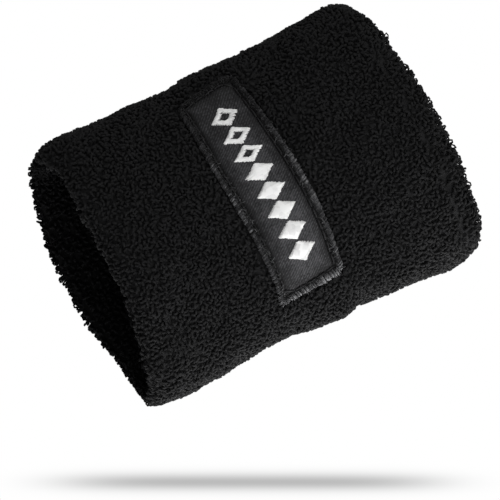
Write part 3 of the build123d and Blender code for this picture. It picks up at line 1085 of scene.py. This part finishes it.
def border_core(count, sides):
    """The flattened ring the stitches wrap round."""
    along, z, inward_l, inward_z = edge_places(count, BORDER_INSET, BORDER_CORNER)
    upper, plus_end, width = border_edges(inward_l, inward_z)
    angle = (np.arange(sides) * TAU / sides)[None]
    inward = (0.46 * np.cos(angle) - 0.16) * width - 0.18 * upper - 0.26 * plus_end
    core = patch_point(
        along[:, None] + inward_l[:, None] * inward,
        z[:, None] + inward_z[:, None] * inward,
        0.42 + 0.44 * np.sin(angle),
    )
    return core.reshape(-1, 3), [grid_faces(count, sides)]


def border_tail(steps):
    """A short curled tail of thread at the upper -X corner."""
    share = np.linspace(0, 1, steps)[None]
    along = -HALF_L - 0.2 - 1.3 * share + 0.55 * np.sin(share * 9.0) * share
    z = HALF_H - 0.8 + 1.2 * share + 0.6 * np.cos(share * 9.0) * share - 0.4 * share
    depth = -0.75 * np.sin(share * math.pi * 0.8) - 0.25
    return tubes(patch_point(along, z, depth), patch_frame(along, z)[1], 0.13, 6)


def border_fuzz(rng, count, steps):
    """Loose filaments that stand off the edge stitching."""
    along, z, inward_l, inward_z = edge_places(count, BORDER_INSET, BORDER_CORNER)
    start = rng.uniform(-0.55, 0.45, count)
    yaw = rng.uniform(0, TAU, count)[:, None]
    length = rng.uniform(0.35, 1.0, count)[:, None]
    share = np.linspace(0, 1, steps)[None]
    step_l = (along + inward_l * start)[:, None] + np.cos(yaw) * length * share
    step_l = step_l + rng.normal(0, 0.05, (count, steps))
    step_z = (z + inward_z * start)[:, None] + np.sin(yaw) * length * share
    step_z = step_z + rng.normal(0, 0.05, (count, steps))
    arch = 0.22 + 0.25 * rng.uniform(0, 1, (count, 1))
    depth = -0.03 - arch * np.sin(math.pi * (0.12 + 0.75 * share))
    return tubes(patch_point(step_l, step_z, depth), patch_frame(step_l, step_z)[2], 0.045, 3)


def stitch_shades(rng, count):
    """Each turn's own random shade, darker along the lower and upper edges and lighter at the -X end,
    with painted shade towards +X, where the edge lies deepest, and the painted highlight and shade
    along each stitch.
    """
    along, _, inward_l, inward_z = edge_places(count, BORDER_INSET, BORDER_CORNER)
    turn = (
        rng.uniform(0.0, 0.66, count)
        - 0.38 * ease(along, 2.0, 23.5)
        - 0.35 * ease(along, 22.4, 23.6)
        - 0.20 * ease(along, 0.0, 12.0) * ease(inward_z, 0.3, 0.9)  # lower edge
        - 0.12 * ease(-inward_z, 0.3, 0.9)  # upper edge
        + 0.34 * ease(-along, 21.0, 24.0)
    )
    ridge = STITCH[None, :, 2] * (1 - 0.7 * ease(-along, 21.0, 23.5))[:, None]
    return (turn[:, None] + ridge).ravel()


def build_border():
    rng = np.random.default_rng(51)
    stitches, core_count, core_sides, tail_steps, hairs, hair_steps = 372, 300, 10, 22, 620, 6
    parts = [
        border_stitches(rng, stitches),
        border_core(core_count, core_sides),
        border_tail(tail_steps),
        border_fuzz(rng, hairs, hair_steps),
    ]
    border = make_mesh("patch_border_stitches", *join_parts(parts), BORDER)
    stitch_shade = stitch_shades(rng, stitches)
    hair_along = edge_places(hairs, BORDER_INSET, BORDER_CORNER)[0]
    # painted shade: the fuzz too is darker towards +X
    hair_shade = rng.uniform(0.25, 0.95, hairs) - 0.42 * ease(hair_along, 2.0, 23.5)
    set_attribute(border, "shade", np.concatenate([
        np.repeat(stitch_shade, 6),
        np.full(core_count * core_sides, -0.2),
        np.full(tail_steps * 6, 0.3),
        np.repeat(hair_shade, hair_steps * 3),
    ]))
    register(border, "patch_border_thread")


build_border()


# ---- the sewing that holds the patch, seen in the groove inside the border ------------
def build_sewing():
    along, z, _, _ = edge_places(44, inset=1.95, radius=0.2)
    z = z + 0.40 * ease(z, 4.0, 6.0)
    along = along + 0.55 * ease(along, 21.0, 22.7)
    run_l, run_z = np.roll(along, -1) - along, np.roll(z, -1) - z
    share = np.linspace(0, 1, 9)[None]
    covered = 0.06 + 0.88 * share  # the stitches leave gaps between them
    step_l = along[:, None] + run_l[:, None] * covered
    step_z = z[:, None] + run_z[:, None] * covered
    path = patch_point(step_l, step_z, 0.45 - 0.37 * np.sin(math.pi * share) ** 0.35)
    ahead, up, _ = patch_frame(step_l, step_z)
    across = unit(ahead * -run_z[:, None, None] + up * run_l[:, None, None])
    sewing = make_mesh("patch_sewing_stitches", *tubes(path, across, 0.15, 6), SEAM)
    register(sewing, "patch_needle_thread")


build_sewing()


# ---- embroidered motif: satin stitches filling a row of diamonds ----------------------
DIAMONDS, OPEN, PITCH, WIDE, TALL = 8, 3, 4.75, 4.2, 6.5
HOLE_HALF_W, HOLE_HALF_H = 0.95, 1.45  # of the open diamonds
ROW_SHIFT, STITCH_PITCH = 0.6, 0.205


def motif_columns():
    """(along, lower z, upper z) of every stitch, from +X to -X by diamond, open ones first."""
    columns = []
    for k in range(DIAMONDS):
        centre = -((k - (DIAMONDS - 1) / 2) * PITCH) + ROW_SHIFT
        for x in np.arange(-WIDE / 2 + 0.10, WIDE / 2 - 0.04, STITCH_PITCH):
            outer = (TALL / 2) * (1 - abs(x) / (WIDE / 2)) + 0.10
            hole = HOLE_HALF_H * (1 - abs(x) / HOLE_HALF_W)
            if k < OPEN and hole > 0.12:
                columns += [(centre + x, hole, outer), (centre + x, -outer, -hole)]
            else:
                columns.append((centre + x, -outer, outer))
    return np.array(columns)


def build_motif():
    rng = np.random.default_rng(61)
    columns = motif_columns()
    count = len(columns)
    low = columns[:, 1:2] + rng.normal(0, 0.07, count)[:, None]
    high = columns[:, 2:] + rng.normal(0, 0.07, count)[:, None]
    share = np.linspace(0, 1, 9)[None]
    along = columns[:, :1] + 0.10 * (share - 0.5) + rng.normal(0, 0.012, (count, 1))
    z = low + (high - low) * share
    rise = np.clip(0.16 + 0.055 * (high - low), 0.16, 0.40)  # longer stitches stand higher
    path = patch_point(along, z, 0.34 - (rise + 0.22) * np.sin(math.pi * share) ** 0.45)
    radius = 0.135 * rng.uniform(0.92, 1.1, count)
    verts, faces = tubes(path, patch_frame(along, z)[0], radius, 6)
    motif = make_mesh("patch_motif_stitches", verts, faces, WHITE)
    register(motif, "patch_motif_thread")


build_motif()

# ---- CAD nodes inside the wall keep their own shape -----------------------------------
for node_name, surface in (("elastic_yarn", ELASTIC), ("patch_bobbin_thread", SEAM)):
    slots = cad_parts[node_name].data.materials
    slots.clear()
    slots.append(surface)

# ---- view directions ------------------------------------------------------------------
TILT = math.radians(15.0)  # the camera looks down on the front
ROLL = math.radians(26.0)  # and is rolled so that the band lies on its side
TOWARD = Vector((0, -math.cos(TILT), math.sin(TILT)))  # from the band to the camera
LEVEL_RIGHT, LEVEL_UP = Vector((1, 0, 0)), Vector((0, math.sin(TILT), math.cos(TILT)))
VIEW_UP = math.cos(ROLL) * LEVEL_RIGHT - math.sin(ROLL) * LEVEL_UP
VIEW_RIGHT = -math.sin(ROLL) * LEVEL_RIGHT - math.cos(ROLL) * LEVEL_UP
CENTRE = Vector((0, 0, MID_Z)) * MM
AIM = CENTRE - VIEW_RIGHT * (0.57159 * MM) - VIEW_UP * (9.90756 * MM)
DROP = AIM - VIEW_UP * (49.1144 * MM)  # middle of the shade under the band


def build_camera():
    distance = 1.5
    view_width = 105.85 * MM  # at the aim
    lens = bpy.data.cameras.new("camera")
    lens.sensor_width = 36.0
    lens.lens = lens.sensor_width * distance / view_width
    lens.clip_start, lens.clip_end = 0.05, 20
    camera = bpy.data.objects.new("camera", lens)
    bpy.context.scene.collection.objects.link(camera)
    camera.matrix_world = Matrix((VIEW_RIGHT, VIEW_UP, TOWARD)).transposed().to_4x4()
    camera.location = AIM + TOWARD * distance
    bpy.context.scene.camera = camera
    return camera


CAMERA_PLACE = tuple(build_camera().location)


# ---- pale floors, seen by camera rays only --------------------------------------------
def camera_share(tree, position, incoming, comparison):
    """1 for camera rays that come (GREATER_THAN) or don't come (LESS_THAN) from the camera."""
    at = node(tree, "ShaderNodeCombineXYZ", *CAMERA_PLACE).outputs[0]
    to_camera = vector_maths(tree, "NORMALIZE", vector_maths(tree, "SUBTRACT", at, position))
    facing = vector_maths(tree, "DOT_PRODUCT", to_camera, incoming)
    hit = maths(tree, comparison, facing, 0.99995)
    is_camera = tree.nodes.new("ShaderNodeLightPath").outputs["Is Camera Ray"]
    return maths(tree, "MULTIPLY", hit, is_camera)


def start_floor(name, comparison):
    made, tree, shader = material(name)
    tree.nodes.remove(shader)
    geometry = tree.nodes.new("ShaderNodeNewGeometry")
    position = geometry.outputs["Position"]
    share = camera_share(tree, position, geometry.outputs["Incoming"], comparison)
    return made, tree, position, share


def finish_floor(tree, share, surface):
    """Shows that share of the surface and leaves the rest clear."""
    clear = tree.nodes.new("ShaderNodeBsdfTransparent").outputs[0]
    mix = node(tree, "ShaderNodeMixShader", share, clear, surface)
    feed(tree, tree.nodes["Material Output"], Surface=mix.outputs[0])


def shade_floor_material():
    """For the scene's camera: a pool of white floor with a soft flat ellipse of shade."""
    made, tree, position, share = start_floor("pale_photo_floor", "GREATER_THAN")
    away = vector_maths(tree, "DISTANCE", position, DROP)
    fade = map_range(
        tree, away, source=(0.06, 0.16), to=(1.0, 0.0), interpolation_type="SMOOTHSTEP"
    )
    share = maths(tree, "MULTIPLY", share, fade)
    offset = vector_maths(tree, "SUBTRACT", position, DROP)
    terms = []
    # axis, half length of the shade along it in millimetres, steepness of its end
    for axis, half, power in ((VIEW_RIGHT, 40.223, 4.8), (VIEW_UP, 1.52424, 2.0)):
        reach = vector_maths(tree, "DOT_PRODUCT", offset, axis / (half * MM))
        terms.append(maths(tree, "POWER", maths(tree, "ABSOLUTE", reach), power))
    minus = maths(tree, "MULTIPLY", maths(tree, "ADD", *terms), -1.0)
    bell = maths(tree, "EXPONENT", minus)
    strength = maths(tree, "MULTIPLY_ADD", bell, -0.50, 1.0)
    glow = node(tree, "ShaderNodeEmission", Strength=strength)
    finish_floor(tree, share, glow.outputs[0])
    return made


def open_floor_material():
    """For every other view: a pale floor that runs into the white without a horizon."""
    made, tree, position, share = start_floor("pale_floor", "LESS_THAN")
    white = (1, 1, 1, 1)
    diffuse = node(tree, "ShaderNodeBsdfDiffuse", Color=(0.86, 0.86, 0.86, 1))
    glow = node(tree, "ShaderNodeEmission", Color=white, Strength=0.10)
    near = node(tree, "ShaderNodeAddShader", diffuse.outputs[0], glow.outputs[0])
    far = node(tree, "ShaderNodeEmission", Color=white, Strength=1.0)
    away = vector_maths(tree, "LENGTH", position)
    fade = map_range(tree, away, source=(0.05, 0.34), interpolation_type="SMOOTHSTEP")
    both = node(tree, "ShaderNodeMixShader", fade, near.outputs[0], far.outputs[0])
    finish_floor(tree, share, both.outputs[0])
    return made


def build_floor(name, centre, normal, half, surface):
    """A square in metres."""
    normal = Vector(normal).normalized()
    first = normal.orthogonal().normalized()
    second = normal.cross(first)
    corners = [
        (Vector(centre) + (first * x + second * y) * half) / MM
        for x, y in ((-1, -1), (1, -1), (1, 1), (-1, 1))
    ]
    quad = [np.array([[0, 1, 2, 3]])]
    make_mesh(name, np.array([list(c) for c in corners]), quad, surface, flat=True)


floor_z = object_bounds()[0].z + 0.0002
build_floor("floor", (0, 0, floor_z), (0, 0, 1), 6.0, open_floor_material())
build_floor("photo_floor", DROP, VIEW_UP + TOWARD * 0.150, 0.3, shade_floor_material())


# ---- light ----------------------------------------------------------------------------
def build_world():
    """White to the camera. As light it is stronger from below, as if from a pale floor."""
    world = bpy.data.worlds.new("world")
    world.use_nodes = True
    bpy.context.scene.world = world
    tree = world.node_tree
    tree.nodes.clear()
    is_camera = tree.nodes.new("ShaderNodeLightPath").outputs["Is Camera Ray"]
    white = (1, 1, 1, 1)
    seen = node(tree, "ShaderNodeBackground", Color=white, Strength=1.0)
    look = tree.nodes.new("ShaderNodeTexCoord").outputs["Generated"]
    down = (VIEW_RIGHT * 0.44 - VIEW_UP * 0.90).normalized()
    from_below = vector_maths(tree, "DOT_PRODUCT", look, down)
    strength = map_range(tree, from_below, source=(-1.0, 1.0), to=(0.22, 1.00))
    fill = node(tree, "ShaderNodeBackground", Color=white, Strength=strength)
    mix = node(tree, "ShaderNodeMixShader", is_camera, fill.outputs[0], seen.outputs[0])
    node(tree, "ShaderNodeOutputWorld", Surface=mix.outputs[0])


def build_light(name, right, up, toward, distance, size, energy):
    """A soft square panel facing the band, placed by the view's directions, in metres."""
    way = (VIEW_RIGHT * right + VIEW_UP * up + TOWARD * toward).normalized()
    panel = bpy.data.lights.new(name, "AREA")
    panel.shape = "SQUARE"
    panel.size = size
    panel.energy = energy
    light = bpy.data.objects.new(name, panel)
    light.location = CENTRE + way * distance
    light.rotation_mode = "QUATERNION"
    light.rotation_quaternion = way.to_track_quat("Z", "Y")
    bpy.context.scene.collection.objects.link(light)


build_world()
build_light("key", right=0.62, up=-0.05, toward=1.0, distance=0.45, size=0.65, energy=1.25)
build_light("low", right=0.30, up=-0.86, toward=0.40, distance=0.8, size=1.2, energy=6.0)
build_light("under", right=0.28, up=-0.92, toward=-0.30, distance=0.60, size=1.1, energy=15.0)
build_light("over", right=0.1, up=1.0, toward=0.25, distance=0.8, size=0.4, energy=2.0)

view = bpy.context.scene.view_settings
view.view_transform = "Standard"
view.look = "None"
